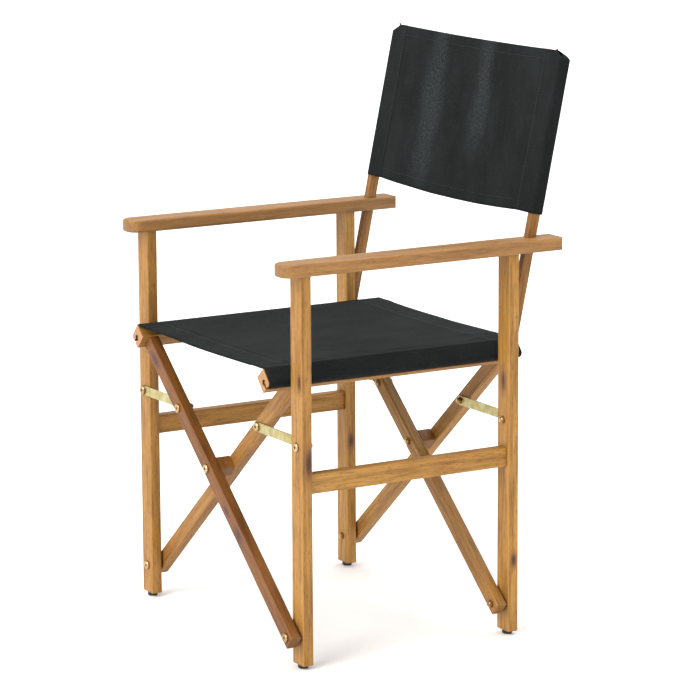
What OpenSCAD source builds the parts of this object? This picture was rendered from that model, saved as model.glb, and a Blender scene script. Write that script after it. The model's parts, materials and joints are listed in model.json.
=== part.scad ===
// Folding director's chair: two side frames joined by a front and a rear scissor,
// a seat sling between two seat rails and a back sling between two raked posts.
// Millimetres, +Z up. The origin is on the floor, under the middle of the chair.
// The front faces -Y. Left and right are the sitter's: the left frame is at +X.

/* [Side frames] */
// Width over the outer faces of the legs
frame_w = 520; // [430:10:640]
// Depth over the legs, front face of the front leg to back face of the rear leg
leg_base = 382; // [310:2:470]
// Leg width, across the chair
leg_w = 33; // [27:1:40]
// Leg depth, front to back
leg_d = 18; // [15:1:24]
// Radius of the long edges of the legs, braces and stretchers
edge_r = 2.5; // [1:0.5:4]
// Bevel on the lower ends of the legs and braces
end_bevel = 1.5; // [0.5:0.25:2.5]
// Height of the stretcher between the front and rear leg
stretcher_h = 30; // [22:1:40]
// Thickness of the stretcher, across the chair
stretcher_t = 20; // [14:1:24]
// Height of the stretcher's centre above the floor
stretcher_z = 282; // [180:2:306]
// Height of each floor glide
glide_h = 6; // [4:1:10]
// Diameter of each floor glide
glide_d = 16; // [12:1:17]

/* [Armrests] */
// Height of the armrests' top face above the floor
arm_h = 616; // [560:2:740]
// Armrest width
arm_w = 44; // [40:1:60]
// Armrest thickness
arm_t = 20; // [17:1:28]
// Armrest overhang in front of the front leg
arm_front = 30; // [15:1:50]
// Armrest overhang behind the rear leg
arm_back = 76; // [60:1:100]
// Radius of the armrests' long edges
arm_edge_r = 4; // [1:0.5:7]
// Radius of the armrests' front corners, seen from above
arm_nose_r = 19; // [8:1:19]

/* [Scissor braces] */
// Brace width, seen from the front
brace_w = 24; // [20:1:30]
// Brace thickness, front to back
brace_t = 18; // [15:1:24]
// Height of the lower pivots above the floor
pivot_z = 51; // [40:1:70]
// Height of the crossing above the floor
cross_z = 261; // [220:1:300]
// Length of brace below its lower pivot
brace_tail = 13; // [12:1:20]
// Gap between each leg and the brace beside it
layer_gap = 2.6; // [2:0.1:5]

/* [Links] */
// Height of the link bolts on the legs
link_leg_z = 339; // [330:1:360]
// Distance of the link bolts on the braces above the crossing
link_brace_u = 120; // [100:1:140]
// Width of a link
link_w = 15; // [12:1:20]
// Clearance on each face of a link
link_play = 0.3; // [0.2:0.05:0.6]

/* [Seat] */
// Rail size along the brace
rail_u = 25; // [22:1:32]
// Rail size across the brace
rail_w = 28; // [26:1:36]
// Rail overhang in front of and behind the legs
rail_over = 32; // [24:1:50]
// Gap between a rail's outer corner and the leg beside it
rail_clear = 6; // [5:0.5:12]
// Diameter of the dowel that holds the seat sling in the rail
seat_dowel_d = 6; // [4:0.5:7]
// Width of the rail's fabric slot
slot_w = 4; // [3:0.5:6]
// Thickness of the seat and back slings
sling_t = 1.2; // [0.8:0.1:1.6]

/* [Back] */
// Rake of the back posts from upright, degrees
post_tilt = 12; // [9:1:16]
// Post size across the chair
post_w = 12; // [10:1:16]
// Post size front to back, square to the post
post_d = 16; // [12:1:20]
// Offset of the post's middle from the leg's middle, towards the sitter
post_in = 7; // [3:0.5:8]
// Post front face behind the rear leg, at the armrest's top face
post_set = 25.5; // [18:0.5:34]
// Length of post above the armrest's top face
post_up = 276; // [240:1:340]
// Gap between the armrest and the back sling, along the post
back_gap = 38; // [25:1:60]
// Height of the back sling, along the post
back_h = 250; // [200:1:300]

/* [Hardware] */
// Bolt shank diameter
bolt_d = 6; // [5:0.5:7]
// Radial running clearance around a bolt
bolt_fit = 0.1; // [0.03:0.01:0.1]
// Bolt head diameter
head_d = 14; // [12:0.5:16]
// Bolt head height
head_h = 3; // [2:0.5:4]
// Nut size across flats
nut_af = 10; // [9:0.5:12]
// Nut height
nut_h = 5; // [4:0.5:7]
// Diameter of the wooden dowels
dowel_d = 8; // [6:0.5:9]

/* [Hidden] */
$fn = 48;

wood = "#C08A4E";
wood_dark = "#A8713A";
wood_end = "#D9B27C";
metal = "#CFC48A";
cloth = "#2B2D2D";
plastic = "#1A1A1A";

// Bevel round a bolt's head
head_bevel = 0.9;

// Small clearances: pieces that are fixed together, and pieces that pass each other
snug = 0.05;
pass = 0.3;

// Bolt positions across the chair, and the scissor's half angle from upright
pivot_x = frame_w/2 - leg_w/2;
half_angle = atan(pivot_x/(cross_z - pivot_z));
lower_len = norm([pivot_x, cross_z - pivot_z]);

// The rail starts where its outer corner clears the leg by rail_clear
leg_inner_x = frame_w/2 - leg_w;
rail_start = (leg_inner_x - rail_clear - rail_w/2*cos(half_angle))/sin(half_angle) - rail_u;
rail_len = leg_base + 2*rail_over;
arm_under = arm_h - arm_t;
nose_r = min(arm_nose_r, arm_w/2 - 0.5);

// Dowel hole and fabric slot in the rail, in the rail's own section
dowel_bore = seat_dowel_d + 2*sling_t + 1.2;
bore_u = rail_u/2;
bore_w = -rail_w/2 + 17;
rail_round = 5;
lip_round = 3;

// Links: end distance and the angle of the open link from level, worked out from the bolts
link_dx = pivot_x - link_brace_u*sin(half_angle);
link_dz = cross_z + link_brace_u*cos(half_angle) - link_leg_z;
link_len = norm([link_dx, link_dz]);
link_rise = atan(link_dz/link_dx);
link_t = layer_gap - 2*link_play;

// Gap under the seat sling, and the back sling's sleeve around each post
sling_gap = 0.3;
sleeve_gap = 0.4;
sleeve_out = sleeve_gap + sling_t;
back_top = back_gap + back_h;

// Placing along Y: the chair's front-most and rear-most points are equally far from the origin
front_over = max(rail_over, arm_front);
rear_over = post_set + back_top*sin(post_tilt) + (post_d + sleeve_out)*cos(post_tilt);
front_y = -(front_over + leg_base + rear_over)/2 + front_over;
rear_y = front_y + leg_base;
post_x = pivot_x - post_in;

// Shared shapes ------------------------------------------------------------------------------

// Rectangle with round corners, centred
module rounded_rect(w, d, r) {
    square([w - 2*r, d], center = true);
    square([w, d - 2*r], center = true);
    for (sx = [-1, 1], sy = [-1, 1])
        translate([sx*(w/2 - r), sy*(d/2 - r)]) circle(r);
}

// Bar with round long edges, standing on z = 0
module bar(w, d, len, r = edge_r) {
    linear_extrude(len) rounded_rect(w, d, r);
}

// Cuts the four edges of a bar's end on z = 0
module end_bevels(w, d) {
    side = end_bevel*sqrt(2);
    for (sx = [-1, 1]) translate([sx*w/2, 0, 0]) rotate([90, 0, 0])
        linear_extrude(d + 2, center = true) rotate(45) square(side, center = true);
    for (sy = [-1, 1]) translate([0, sy*d/2, 0]) rotate([90, 0, 90])
        linear_extrude(w + 2, center = true) rotate(45) square(side, center = true);
}

// Cylinder along +Y from y0 to y1
module rod_y(d, y0, y1) {
    translate([0, y0, 0]) rotate([-90, 0, 0]) cylinder(d = d, h = y1 - y0);
}

// Bolt along Y with a flat round head that faces -Y, its seat at y0 and its shank ending at y1
module bolt_y(y0, y1) {
    difference() {
        union() {
            rod_y(bolt_d, y0 - 0.5, y1);
            rod_y(head_d, y0 - head_h + head_bevel, y0);
            translate([0, y0 - head_h, 0]) rotate([-90, 0, 0])
                cylinder(d1 = head_d - 2*head_bevel, d2 = head_d, h = head_bevel);
        }
        translate([0, y0 - head_h - 1, 0])
            rotate([-90, 0, 0]) cylinder(d = 4.6, h = 3, $fn = 6);
    }
}

// Lock nut along Y, its seat at y0, its round collar pointing towards +Y
module nut_y(y0, bore = bolt_d + 2*snug) {
    translate([0, y0, 0]) rotate([-90, 0, 0]) difference() {
        union() {
            cylinder(d = nut_af/cos(30), h = nut_h*0.7, $fn = 6);
            cylinder(d = nut_af*0.9, h = nut_h*0.85);
            translate([0, 0, nut_h*0.85]) cylinder(d1 = nut_af*0.9, d2 = nut_af*0.75, h = nut_h*0.15);
        }
        translate([0, 0, -1]) cylinder(d = bore, h = nut_h + 2);
    }
}

module washer_y(y0, y1) {
    difference() {
        rod_y(head_d, y0, y1);
        rod_y(bolt_d + 2*snug, y0 - 1, y1 + 1);
    }
}

// The front scissor's pieces are drawn with y = 0 on the front leg's front face
module front_x() {
    translate([0, front_y, 0]) children();
}

// The rear scissor is the front one turned half round about the middle of the leg base
module rear_x() {
    translate([0, rear_y, 0]) rotate([0, 0, 180]) children();
}
module half_turn() {
    translate([0, front_y + rear_y, 0]) rotate([0, 0, 180]) children();
}

// Frame of a brace that leans its top towards +X: origin on the crossing, +Z along the brace
module along_brace() {
    translate([0, 0, cross_z]) rotate([0, half_angle, 0]) children();
}

module mirrored() {
    mirror([1, 0, 0]) children();
}

// Side frames --------------------------------------------------------------------------------

// Where the holes for the arm dowels and stretcher dowels are
arm_dowel_dx = 8;
stretcher_dowel_dz = 7;
dowel_in_leg = 12;

module arm_dowel_pair() {
    for (sx = [-1, 1]) translate([sx*arm_dowel_dx, 0, 0]) children();
}

// Leg of the left frame, its front face at y0, with its dowel holes in the back face
module leg(y0) {
    translate([pivot_x, y0 + leg_d/2, 0]) difference() {
        translate([0, 0, glide_h]) bar(leg_w, leg_d, arm_under - glide_h);
        translate([0, 0, glide_h]) end_bevels(leg_w, leg_d);
        for (z = [pivot_z, link_leg_z])
            translate([0, 0, z]) rod_y(bolt_d + 2*bolt_fit, -leg_d, leg_d);
        translate([0, 0, arm_under - 20]) arm_dowel_pair() cylinder(d = dowel_d + 2*snug, h = 21);
        translate([0, 0, glide_h - 1]) cylinder(d = 5 + 2*snug, h = 14);
        for (dz = [-1, 1])
            translate([0, 0, stretcher_z + dz*stretcher_dowel_dz])
                rod_y(dowel_d + 2*snug, leg_d/2 - dowel_in_leg, leg_d);
    }
}

module front_leg() {
    color(wood) leg(front_y);
}

module rear_leg() {
    color(wood) difference() {
        mirror([0, 1, 0]) leg(-rear_y);
        post_screw_places() rod_y(post_screw_d + 2*snug, -16, 1);
    }
}

module stretcher() {
    len = leg_base - 2*leg_d;
    color(wood_dark) translate([pivot_x, front_y + leg_d, stretcher_z]) difference() {
        translate([0, len, 0]) rotate([90, 0, 0]) bar(stretcher_t, stretcher_h, len);
        for (dz = [-1, 1], y = [-1, len - 19])
            translate([0, 0, dz*stretcher_dowel_dz]) rod_y(dowel_d + 2*snug, y, y + 20);
    }
}

module stretcher_dowels() {
    len = leg_base - 2*leg_d;
    color(wood_end) translate([pivot_x, front_y + leg_d, stretcher_z])
        for (dz = [-1, 1]) translate([0, 0, dz*stretcher_dowel_dz]) {
            rod_y(dowel_d, 0.5 - dowel_in_leg, 18);
            rod_y(dowel_d, len - 18, len - 0.5 + dowel_in_leg);
        }
}

// Body of the armrest: square at the back, round at the front, with every edge rounded
module arm_body() {
    len = arm_front + leg_base + arm_back;
    middle = arm_w - 2*nose_r;
    intersection() {
        translate([0, len, arm_t/2]) rotate([90, 0, 0]) bar(arm_w, arm_t, len - nose_r, arm_edge_r);
        linear_extrude(arm_t) difference() {
            translate([-arm_w/2, 0]) square([arm_w, len]);
            for (sx = [-1, 1]) translate([sx*arm_w/2, len]) difference() {
                square(2*arm_edge_r, center = true);
                translate([-sx*arm_edge_r, -arm_edge_r]) circle(arm_edge_r);
            }
        }
    }
    translate([-middle/2, nose_r, arm_t/2]) rotate([90, 0, 90])
        bar(2*nose_r, arm_t, middle, arm_edge_r);
    for (sx = [-1, 1]) translate([sx*middle/2, nose_r, arm_t/2]) rotate_extrude() intersection() {
        rounded_rect(2*nose_r, arm_t, arm_edge_r);
        translate([0, -arm_t]) square([nose_r + 1, 2*arm_t]);
    }
}

module armrest() {
    color(wood) difference() {
        translate([pivot_x, front_y - arm_front, arm_under]) arm_body();
        for (y = [front_y + leg_d/2, rear_y - leg_d/2])
            translate([pivot_x, y, arm_under - 1]) arm_dowel_pair()
                cylinder(d = dowel_d + 2*snug, h = 13);
        post_frame() translate([0, post_d/2, -60])
            linear_extrude(120) square([post_w + 2*snug, post_d + 2*snug], center = true);
    }
}

module arm_dowels() {
    color(wood_end) for (y = [front_y + leg_d/2, rear_y - leg_d/2])
        translate([pivot_x, y, arm_under - 19.5]) arm_dowel_pair() cylinder(d = dowel_d, h = 31);
}

module glides() {
    color(plastic) for (y = [front_y + leg_d/2, rear_y - leg_d/2]) translate([pivot_x, y, 0]) {
        translate([0, 0, 1.5]) cylinder(d = glide_d, h = glide_h - 1.5);
        cylinder(d1 = glide_d - 3, d2 = glide_d, h = 1.5);
        cylinder(d = 5, h = glide_h + 12);
    }
}

// Frame of the back post: origin on its front face at the armrest's top, +Z up the post
module post_frame() {
    translate([post_x, rear_y + post_set, arm_h]) rotate([-post_tilt, 0, 0]) children();
}

// The post's foot is cut to the rear leg's back face and held there with two screws:
// meet is where the post's front face runs into the leg, foot is where post_foot_t is left
post_screw_d = 3;
post_seat = 4;
post_foot_t = 3;
post_slope = tan(post_tilt);
post_meet_z = arm_h - post_set/post_slope;
post_foot_z = arm_h - (post_set + post_d/cos(post_tilt) - post_foot_t)/post_slope;
post_screw_z = [post_meet_z*0.75 + post_foot_z*0.25, post_meet_z*0.3 + post_foot_z*0.7];

module post_screw_places() {
    for (z = post_screw_z) translate([post_x, rear_y, z]) children();
}

module back_post() {
    low = arm_h - post_foot_z;
    color(wood_dark) difference() {
        post_frame() translate([0, post_d/2, -low/cos(post_tilt)])
            bar(post_w, post_d, low/cos(post_tilt) + post_up, 1.5);
        translate([post_x - 20, rear_y - 60, post_foot_z - 100])
            cube([40, 60, 100 + arm_under - post_foot_z]);
        translate([post_x - 20, rear_y - 60, post_foot_z - 100]) cube([40, 120, 100]);
        post_screw_places() {
            rod_y(post_screw_d + 2*snug, -1, post_seat + 1);
            rod_y(7 + 2*pass, post_seat, 40);
        }
    }
}

module post_screws() {
    color(metal) post_screw_places() difference() {
        union() {
            rod_y(post_screw_d, -15.5, post_seat);
            rod_y(7, post_seat, post_seat + 2);
        }
        translate([0, post_seat + 1.2, 0]) rotate([-90, 0, 0]) cylinder(d = 3, h = 2, $fn = 6);
    }
}

// Hardware on the legs, for the outer layer (in front of the leg) and the inner layer ---------

brace_front = -layer_gap - brace_t;
inner_front = leg_d + layer_gap;
inner_back = inner_front + brace_t;

// Lower pivot through an outer brace, on the left front leg
module outer_pivot_bolt() {
    translate([pivot_x, 0, pivot_z]) bolt_y(brace_front - pass, leg_d + nut_h + 1);
}
module outer_pivot_nut() {
    translate([pivot_x, 0, pivot_z]) nut_y(leg_d);
}
module outer_pivot_washer() {
    translate([pivot_x, 0, pivot_z]) washer_y(pass - layer_gap, 0);
}

// Lower pivot through an inner brace, on the right front leg
module inner_pivot_bolt() {
    translate([-pivot_x, 0, pivot_z]) bolt_y(0, inner_back + pass + nut_h + 1);
}
module inner_pivot_nut() {
    translate([-pivot_x, 0, pivot_z]) nut_y(inner_back + pass);
}
module inner_pivot_washer() {
    translate([-pivot_x, 0, pivot_z]) washer_y(leg_d, inner_front - pass);
}

// Link bolt of an outer link, on the right front leg
module outer_link_leg_bolt() {
    translate([-pivot_x, 0, link_leg_z]) bolt_y(-layer_gap, leg_d + nut_h + 1);
}
module outer_link_leg_nut() {
    translate([-pivot_x, 0, link_leg_z]) nut_y(leg_d);
}

// Link bolt of an inner link, on the left front leg
module inner_link_leg_bolt() {
    translate([pivot_x, 0, link_leg_z]) bolt_y(0, inner_front + nut_h + 1);
}
module inner_link_leg_nut() {
    translate([pivot_x, 0, link_leg_z]) nut_y(inner_front);
}

// Scissors -----------------------------------------------------------------------------------

// Brace that leans towards +X, its front face at y0
module brace(y0) {
    along_brace() difference() {
        translate([0, y0 + brace_t/2, -lower_len - brace_tail])
            bar(brace_w, brace_t, lower_len + brace_tail + rail_start);
        translate([0, y0 + brace_t/2, -lower_len - brace_tail]) end_bevels(brace_w, brace_t);
        for (u = [-lower_len, 0, link_brace_u])
            translate([0, 0, u]) rod_y(bolt_d + 2*bolt_fit, y0 - 1, y0 + brace_t + 1);
        translate([rail_screw_w, y0 + brace_t/2, rail_start - 36]) cylinder(d = 4 + 2*snug, h = 40);
    }
}

module outer_brace() {
    mirrored() brace(brace_front);
}
module inner_brace() {
    brace(inner_front);
}

// Block between the braces at the crossing: the front one is fixed to the outer brace,
// the rear one to the inner brace, and both stop short of the other brace
block_w = brace_w - 1;
module crossing_block(y0, y1) {
    color(wood_dark) along_brace() difference() {
        translate([0, y1, 0]) rotate([90, 0, 0]) bar(block_w, block_w, y1 - y0, 2);
        rod_y(bolt_d + 2*bolt_fit, y0 - 1, y1 + 1);
    }
}

module front_crossing_block() {
    mirrored() crossing_block(-layer_gap, inner_front - pass);
}
module rear_crossing_block() {
    crossing_block(pass - layer_gap, inner_front);
}

// The crossing bolts are fixed to the same braces as the blocks
module crossing_bolt(front_gap, back_gap) {
    translate([0, 0, cross_z])
        bolt_y(brace_front - front_gap, inner_back + back_gap + nut_h + 1);
}
module crossing_nut(back_gap) {
    translate([0, 0, cross_z]) nut_y(inner_back + back_gap);
}

// Seat rail of the left side, square to the braces, its fabric slot in the outer lower face
rail_screw_w = -7;
rail_screw_y = [inner_front + brace_t/2, leg_base + layer_gap + brace_t/2];

module rail_section() {
    difference() {
        translate([0, rail_u/2]) rounded_rect(rail_w, rail_u, 1.5);
        translate([rail_w/2 - rail_round, rail_u - rail_round]) difference() {
            square(2*rail_round);
            circle(rail_round);
        }
        translate([rail_w/2 - lip_round, bore_u + slot_w/2 + lip_round]) difference() {
            translate([0, -2*lip_round]) square(2*lip_round);
            circle(lip_round);
        }
        translate([bore_w, bore_u]) circle(d = dowel_bore);
        translate([bore_w, bore_u - slot_w/2]) square([rail_w, slot_w]);
    }
}

// Left rail with the screw holes of the brace that is y away from the front leg's front face
module seat_rail() {
    color(wood_dark) translate([0, front_y, 0]) along_brace() difference() {
        translate([0, leg_base + rail_over, rail_start]) rotate([90, 0, 0])
            linear_extrude(rail_len) rail_section();
        for (y = rail_screw_y) translate([rail_screw_w, y, rail_start]) {
            translate([0, 0, -1]) cylinder(d = 4 + 2*snug, h = rail_u + 2);
            translate([0, 0, rail_u - 5]) cylinder(d = 8.5, h = 6);
        }
    }
}

module rail_screws() {
    color(metal) translate([0, front_y, 0]) along_brace()
        for (y = rail_screw_y) translate([rail_screw_w, y, rail_start]) difference() {
            union() {
                translate([0, 0, -35]) cylinder(d = 4, h = 35 + rail_u - 5);
                translate([0, 0, rail_u - 5]) cylinder(d = 8, h = 3);
            }
            translate([0, 0, rail_u - 4]) cylinder(d = 3.4, h = 4, $fn = 6);
        }
}

module seat_dowel() {
    color(wood_end) translate([0, front_y, 0]) along_brace()
        translate([bore_w, 2 - rail_over, rail_start + bore_u]) rod_y(seat_dowel_d, 0, rail_len - 4);
}

// Bolts of the links on the braces. Each is parted at the link's face, so that the half
// on the brace and the half on the link can pass each other while the chair folds.
module outer_brace_link_bolt() {
    mirrored() along_brace() translate([0, 0, link_brace_u]) bolt_y(brace_front, -layer_gap);
}
module inner_brace_link_stud() {
    along_brace() translate([0, 0, link_brace_u]) {
        rod_y(bolt_d, inner_front, inner_back + nut_h + 1);
        nut_y(inner_back, bolt_d - 1);
    }
}

// Links --------------------------------------------------------------------------------------

// Flat link from its leg bolt at the origin towards -X, its front face at y = 0
module link_bar() {
    rotate([90, 0, 0]) translate([0, 0, -link_t]) linear_extrude(link_t) difference() {
        union() {
            translate([-link_len, -link_w/2]) square([link_len, link_w]);
            circle(d = link_w);
            translate([-link_len, 0]) circle(d = link_w);
        }
        circle(d = bolt_d + 2*bolt_fit);
        translate([-link_len, 0]) circle(d = bolt_d + 2*snug);
    }
}

module inner_link() {
    color(metal) translate([pivot_x, leg_d + link_play, link_leg_z])
        rotate([0, link_rise, 0]) link_bar();
}
module outer_link() {
    color(metal) mirrored() translate([pivot_x, link_play - layer_gap, link_leg_z])
        rotate([0, link_rise, 0]) link_bar();
}

module link_end_place() {
    translate([pivot_x - link_dx, 0, link_leg_z + link_dz]) children();
}
module inner_link_head() {
    color(metal) link_end_place()
        bolt_y(leg_d + link_play, leg_d + link_play + link_t);
}
module outer_link_nut() {
    y0 = link_play - layer_gap;
    color(metal) mirrored() link_end_place() {
        rod_y(bolt_d, y0, y0 + link_t + nut_h + 1);
        nut_y(y0 + link_t, bolt_d - 1);
    }
}

// Slings -------------------------------------------------------------------------------------

// Point of the left rail's section in the chair's X and Z: w across the rail, u along the brace
function rail_point(w, u) = [
    w*cos(half_angle) + (rail_start + u)*sin(half_angle),
    cross_z - w*sin(half_angle) + (rail_start + u)*cos(half_angle)
];
rail_top = rail_point(-rail_w/2, rail_u);

// One face of the seat sling on the left side, gap away from the rail: from the fold at the
// rail's top, round its outer corner and down to the slot, then in along the slot at height u
wrap_steps = 8;
function wrap_face(gap, u) = concat(
    [rail_top + [gap*tan(half_angle/2), gap]],
    [for (i = [0:wrap_steps]) rail_point(
        rail_w/2 - rail_round + (rail_round + gap)*sin(90*i/wrap_steps),
        rail_u - rail_round + (rail_round + gap)*cos(90*i/wrap_steps)
    )],
    [rail_point(rail_w/2 + gap, u), rail_point(bore_w + dowel_bore*0.4, u)]
);
function backwards(list) = [for (i = [len(list) - 1:-1:0]) list[i]];
function mirrored_points(list) = [for (p = list) [-p[0], p[1]]];

module seat_sling() {
    outer = wrap_face(sling_gap + sling_t, bore_u - sling_t/2);
    inner = wrap_face(sling_gap, bore_u + sling_t/2);
    color(cloth) translate([0, front_y + leg_base + rail_over - 1.5, 0]) rotate([90, 0, 0]) {
        linear_extrude(rail_len - 3)
            polygon(concat(
                outer, backwards(inner), mirrored_points(inner), mirrored_points(backwards(outer))
            ));
        for (side = [0, 1]) mirror([side, 0, 0]) translate(concat(rail_point(bore_w, bore_u), 0))
            difference() {
                cylinder(d = dowel_bore - 0.6, h = rail_len - 3);
                translate([0, 0, -1]) cylinder(d = seat_dowel_d + 0.6, h = rail_len);
            }
    }
}

// Section of the back sling: a sleeve around each post and a panel across their front faces
module back_section() {
    for (sx = [-1, 1]) translate([sx*post_x, post_d/2]) difference() {
        rounded_rect(post_w + 2*sleeve_out, post_d + 2*sleeve_out, 2.5);
        rounded_rect(post_w + 2*sleeve_gap, post_d + 2*sleeve_gap, 1.3);
    }
    translate([-post_x, -sleeve_out]) square([2*post_x, sling_t]);
}

module back_sling() {
    color(cloth) translate([0, rear_y + post_set, arm_h]) rotate([-post_tilt, 0, 0])
        translate([0, 0, back_gap]) linear_extrude(back_h) back_section();
}

// Nodes --------------------------------------------------------------------------------------

mirrored() front_leg();  // right_front_leg
front_leg();  // left_front_leg
mirrored() rear_leg();  // right_rear_leg
rear_leg();  // left_rear_leg
mirrored() stretcher();  // right_stretcher
stretcher();  // left_stretcher
mirrored() armrest();  // right_armrest
armrest();  // left_armrest
mirrored() back_post();  // right_back_post
back_post();  // left_back_post
mirrored() glides();  // right_glides
glides();  // left_glides
mirrored() arm_dowels();  // right_arm_dowels
arm_dowels();  // left_arm_dowels
mirrored() stretcher_dowels();  // right_stretcher_dowels
stretcher_dowels();  // left_stretcher_dowels
mirrored() post_screws();  // right_post_screws
post_screws();  // left_post_screws
color(metal) {  // right_pivot_bolts
    front_x() inner_pivot_bolt();
    rear_x() outer_pivot_bolt();
}
color(metal) {  // left_pivot_bolts
    front_x() outer_pivot_bolt();
    rear_x() inner_pivot_bolt();
}
color(metal) {  // right_pivot_nuts
    front_x() inner_pivot_nut();
    rear_x() outer_pivot_nut();
}
color(metal) {  // left_pivot_nuts
    front_x() outer_pivot_nut();
    rear_x() inner_pivot_nut();
}
color(metal) {  // right_pivot_washers
    front_x() inner_pivot_washer();
    rear_x() outer_pivot_washer();
}
color(metal) {  // left_pivot_washers
    front_x() outer_pivot_washer();
    rear_x() inner_pivot_washer();
}
color(metal) {  // right_link_leg_bolts
    front_x() outer_link_leg_bolt();
    rear_x() inner_link_leg_bolt();
}
color(metal) {  // left_link_leg_bolts
    front_x() inner_link_leg_bolt();
    rear_x() outer_link_leg_bolt();
}
color(metal) {  // right_link_leg_nuts
    front_x() outer_link_leg_nut();
    rear_x() inner_link_leg_nut();
}
color(metal) {  // left_link_leg_nuts
    front_x() inner_link_leg_nut();
    rear_x() outer_link_leg_nut();
}
color(wood) front_x() outer_brace();  // front_outer_brace
color(wood) front_x() inner_brace();  // front_inner_brace
color(wood) rear_x() inner_brace();  // rear_inner_brace
color(wood) rear_x() outer_brace();  // rear_outer_brace
front_x() front_crossing_block();
rear_x() rear_crossing_block();
color(metal) {  // crossing_bolts
    front_x() crossing_bolt(0, pass);
    rear_x() crossing_bolt(pass, 0);
}
color(metal) {  // crossing_nuts
    front_x() crossing_nut(pass);
    rear_x() crossing_nut(0);
}
half_turn() seat_rail();  // right_seat_rail
seat_rail();  // left_seat_rail
mirrored() seat_dowel();  // right_seat_dowel
seat_dowel();  // left_seat_dowel
half_turn() rail_screws();  // right_rail_screws
rail_screws();  // left_rail_screws
color(metal) {  // right_brace_link_bolts
    front_x() outer_brace_link_bolt();
    rear_x() inner_brace_link_stud();
}
color(metal) {  // left_brace_link_bolts
    front_x() inner_brace_link_stud();
    rear_x() outer_brace_link_bolt();
}
front_x() outer_link();  // right_front_link
front_x() inner_link();  // left_front_link
rear_x() inner_link();  // right_rear_link
rear_x() outer_link();  // left_rear_link
front_x() outer_link_nut();  // right_front_link_nut
front_x() inner_link_head();  // left_front_link_head
rear_x() inner_link_head();  // right_rear_link_head
rear_x() outer_link_nut();  // left_rear_link_nut
seat_sling();
back_sling();
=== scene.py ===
"""Looks of a folding director's chair: oiled acacia side frames and braces, zinc plated links
and bolts, and a black woven seat and back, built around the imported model."""

import json
import math
import random

import bmesh
import bpy
from mathutils import Euler, Matrix, Vector, noise


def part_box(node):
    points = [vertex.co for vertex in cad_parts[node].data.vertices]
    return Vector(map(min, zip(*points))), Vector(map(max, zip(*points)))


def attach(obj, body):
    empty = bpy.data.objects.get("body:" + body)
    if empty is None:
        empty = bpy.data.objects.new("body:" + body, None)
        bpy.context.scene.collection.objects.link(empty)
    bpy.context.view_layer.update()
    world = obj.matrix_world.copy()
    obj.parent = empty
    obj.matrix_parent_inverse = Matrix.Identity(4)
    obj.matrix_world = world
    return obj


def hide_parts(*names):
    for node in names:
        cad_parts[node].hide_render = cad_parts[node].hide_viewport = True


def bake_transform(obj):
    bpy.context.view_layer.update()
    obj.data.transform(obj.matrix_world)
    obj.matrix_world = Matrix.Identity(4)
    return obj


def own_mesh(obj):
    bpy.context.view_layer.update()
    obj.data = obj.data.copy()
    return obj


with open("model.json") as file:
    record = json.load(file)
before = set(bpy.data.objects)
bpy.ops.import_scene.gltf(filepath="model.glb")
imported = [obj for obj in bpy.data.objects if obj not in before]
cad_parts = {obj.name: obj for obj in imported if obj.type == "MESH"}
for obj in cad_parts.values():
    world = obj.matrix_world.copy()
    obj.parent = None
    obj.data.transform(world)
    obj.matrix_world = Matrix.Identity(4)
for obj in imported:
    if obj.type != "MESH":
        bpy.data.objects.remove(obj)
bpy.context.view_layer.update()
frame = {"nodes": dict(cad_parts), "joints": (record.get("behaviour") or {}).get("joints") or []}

bl_info = {
    "name": "Folding Director's Chair",
    "version": (1, 0, 0),
    "blender": (4, 5, 0),
    "location": "3D View > Sidebar > Chair",
    "description": "Wood, metal and woven slings of a folding director's chair",
    "category": "Object",
}

MM = 0.001
SIDES = {"right": -1, "left": 1}

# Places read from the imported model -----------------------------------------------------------

JOINTS = {joint["name"]: joint for joint in frame["joints"]}
CROSSING = Vector(JOINTS["crossing_pivot"]["pos_m"])
PIVOT = Vector(JOINTS["left_frame_pivot"]["pos_m"])
LEAN = math.atan2(PIVOT.x, CROSSING.z - PIVOT.z)


def points_of(node):
    """Corners of a CAD node's mesh."""
    return [v.co.copy() for v in frame["nodes"][node].data.vertices]


def centre_of(node):
    """Middle of a CAD node's box."""
    low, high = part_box(node)
    return (low + high) / 2


def post_line():
    """Foot of the back sling's front face, its direction up the back posts, and its height."""
    corners = points_of("back_sling")
    low = min(corners, key=lambda p: p.y)
    top = max(corners, key=lambda p: p.z)
    up = Vector((0, top.y - low.y, top.z - low.z))
    return Vector((0, low.y, low.z)), up.normalized(), up.length


def along_brace(side):
    """Directions across and along the brace that carries this side's seat rail."""
    return (
        Vector((side * math.cos(LEAN), 0, -math.sin(LEAN))),
        Vector((side * math.sin(LEAN), 0, math.cos(LEAN))),
    )


# Helpers for materials -----------------------------------------------------------------------


def linear(hex_colour):
    """Linear RGBA of an sRGB hex colour."""
    channels = [int(hex_colour[i : i + 2], 16) / 255 for i in (1, 3, 5)]
    return [c / 12.92 if c <= 0.04045 else ((c + 0.055) / 1.055) ** 2.4 for c in channels] + [1.0]


def add(tree, kind, inputs=None, **settings):
    """Adds one shader node. settings are its properties. inputs are its sockets, by name or by
    place, each with a value or with the socket that feeds it."""
    made = tree.nodes.new(kind)
    for name, value in settings.items():
        setattr(made, name, value)
    for name, value in (inputs or {}).items():
        if isinstance(value, bpy.types.NodeSocket):
            tree.links.new(value, made.inputs[name])
        else:
            made.inputs[name].default_value = value
    return made


def new_material(name):
    """An empty node material and its tree."""
    material = bpy.data.materials.new(name)
    material.use_nodes = True
    material.node_tree.nodes.clear()
    return material, material.node_tree


# Places of the sockets that a Mix node uses for colours
SHARE, UNDER, OVER, MIXED = 0, 6, 7, 2


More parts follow.
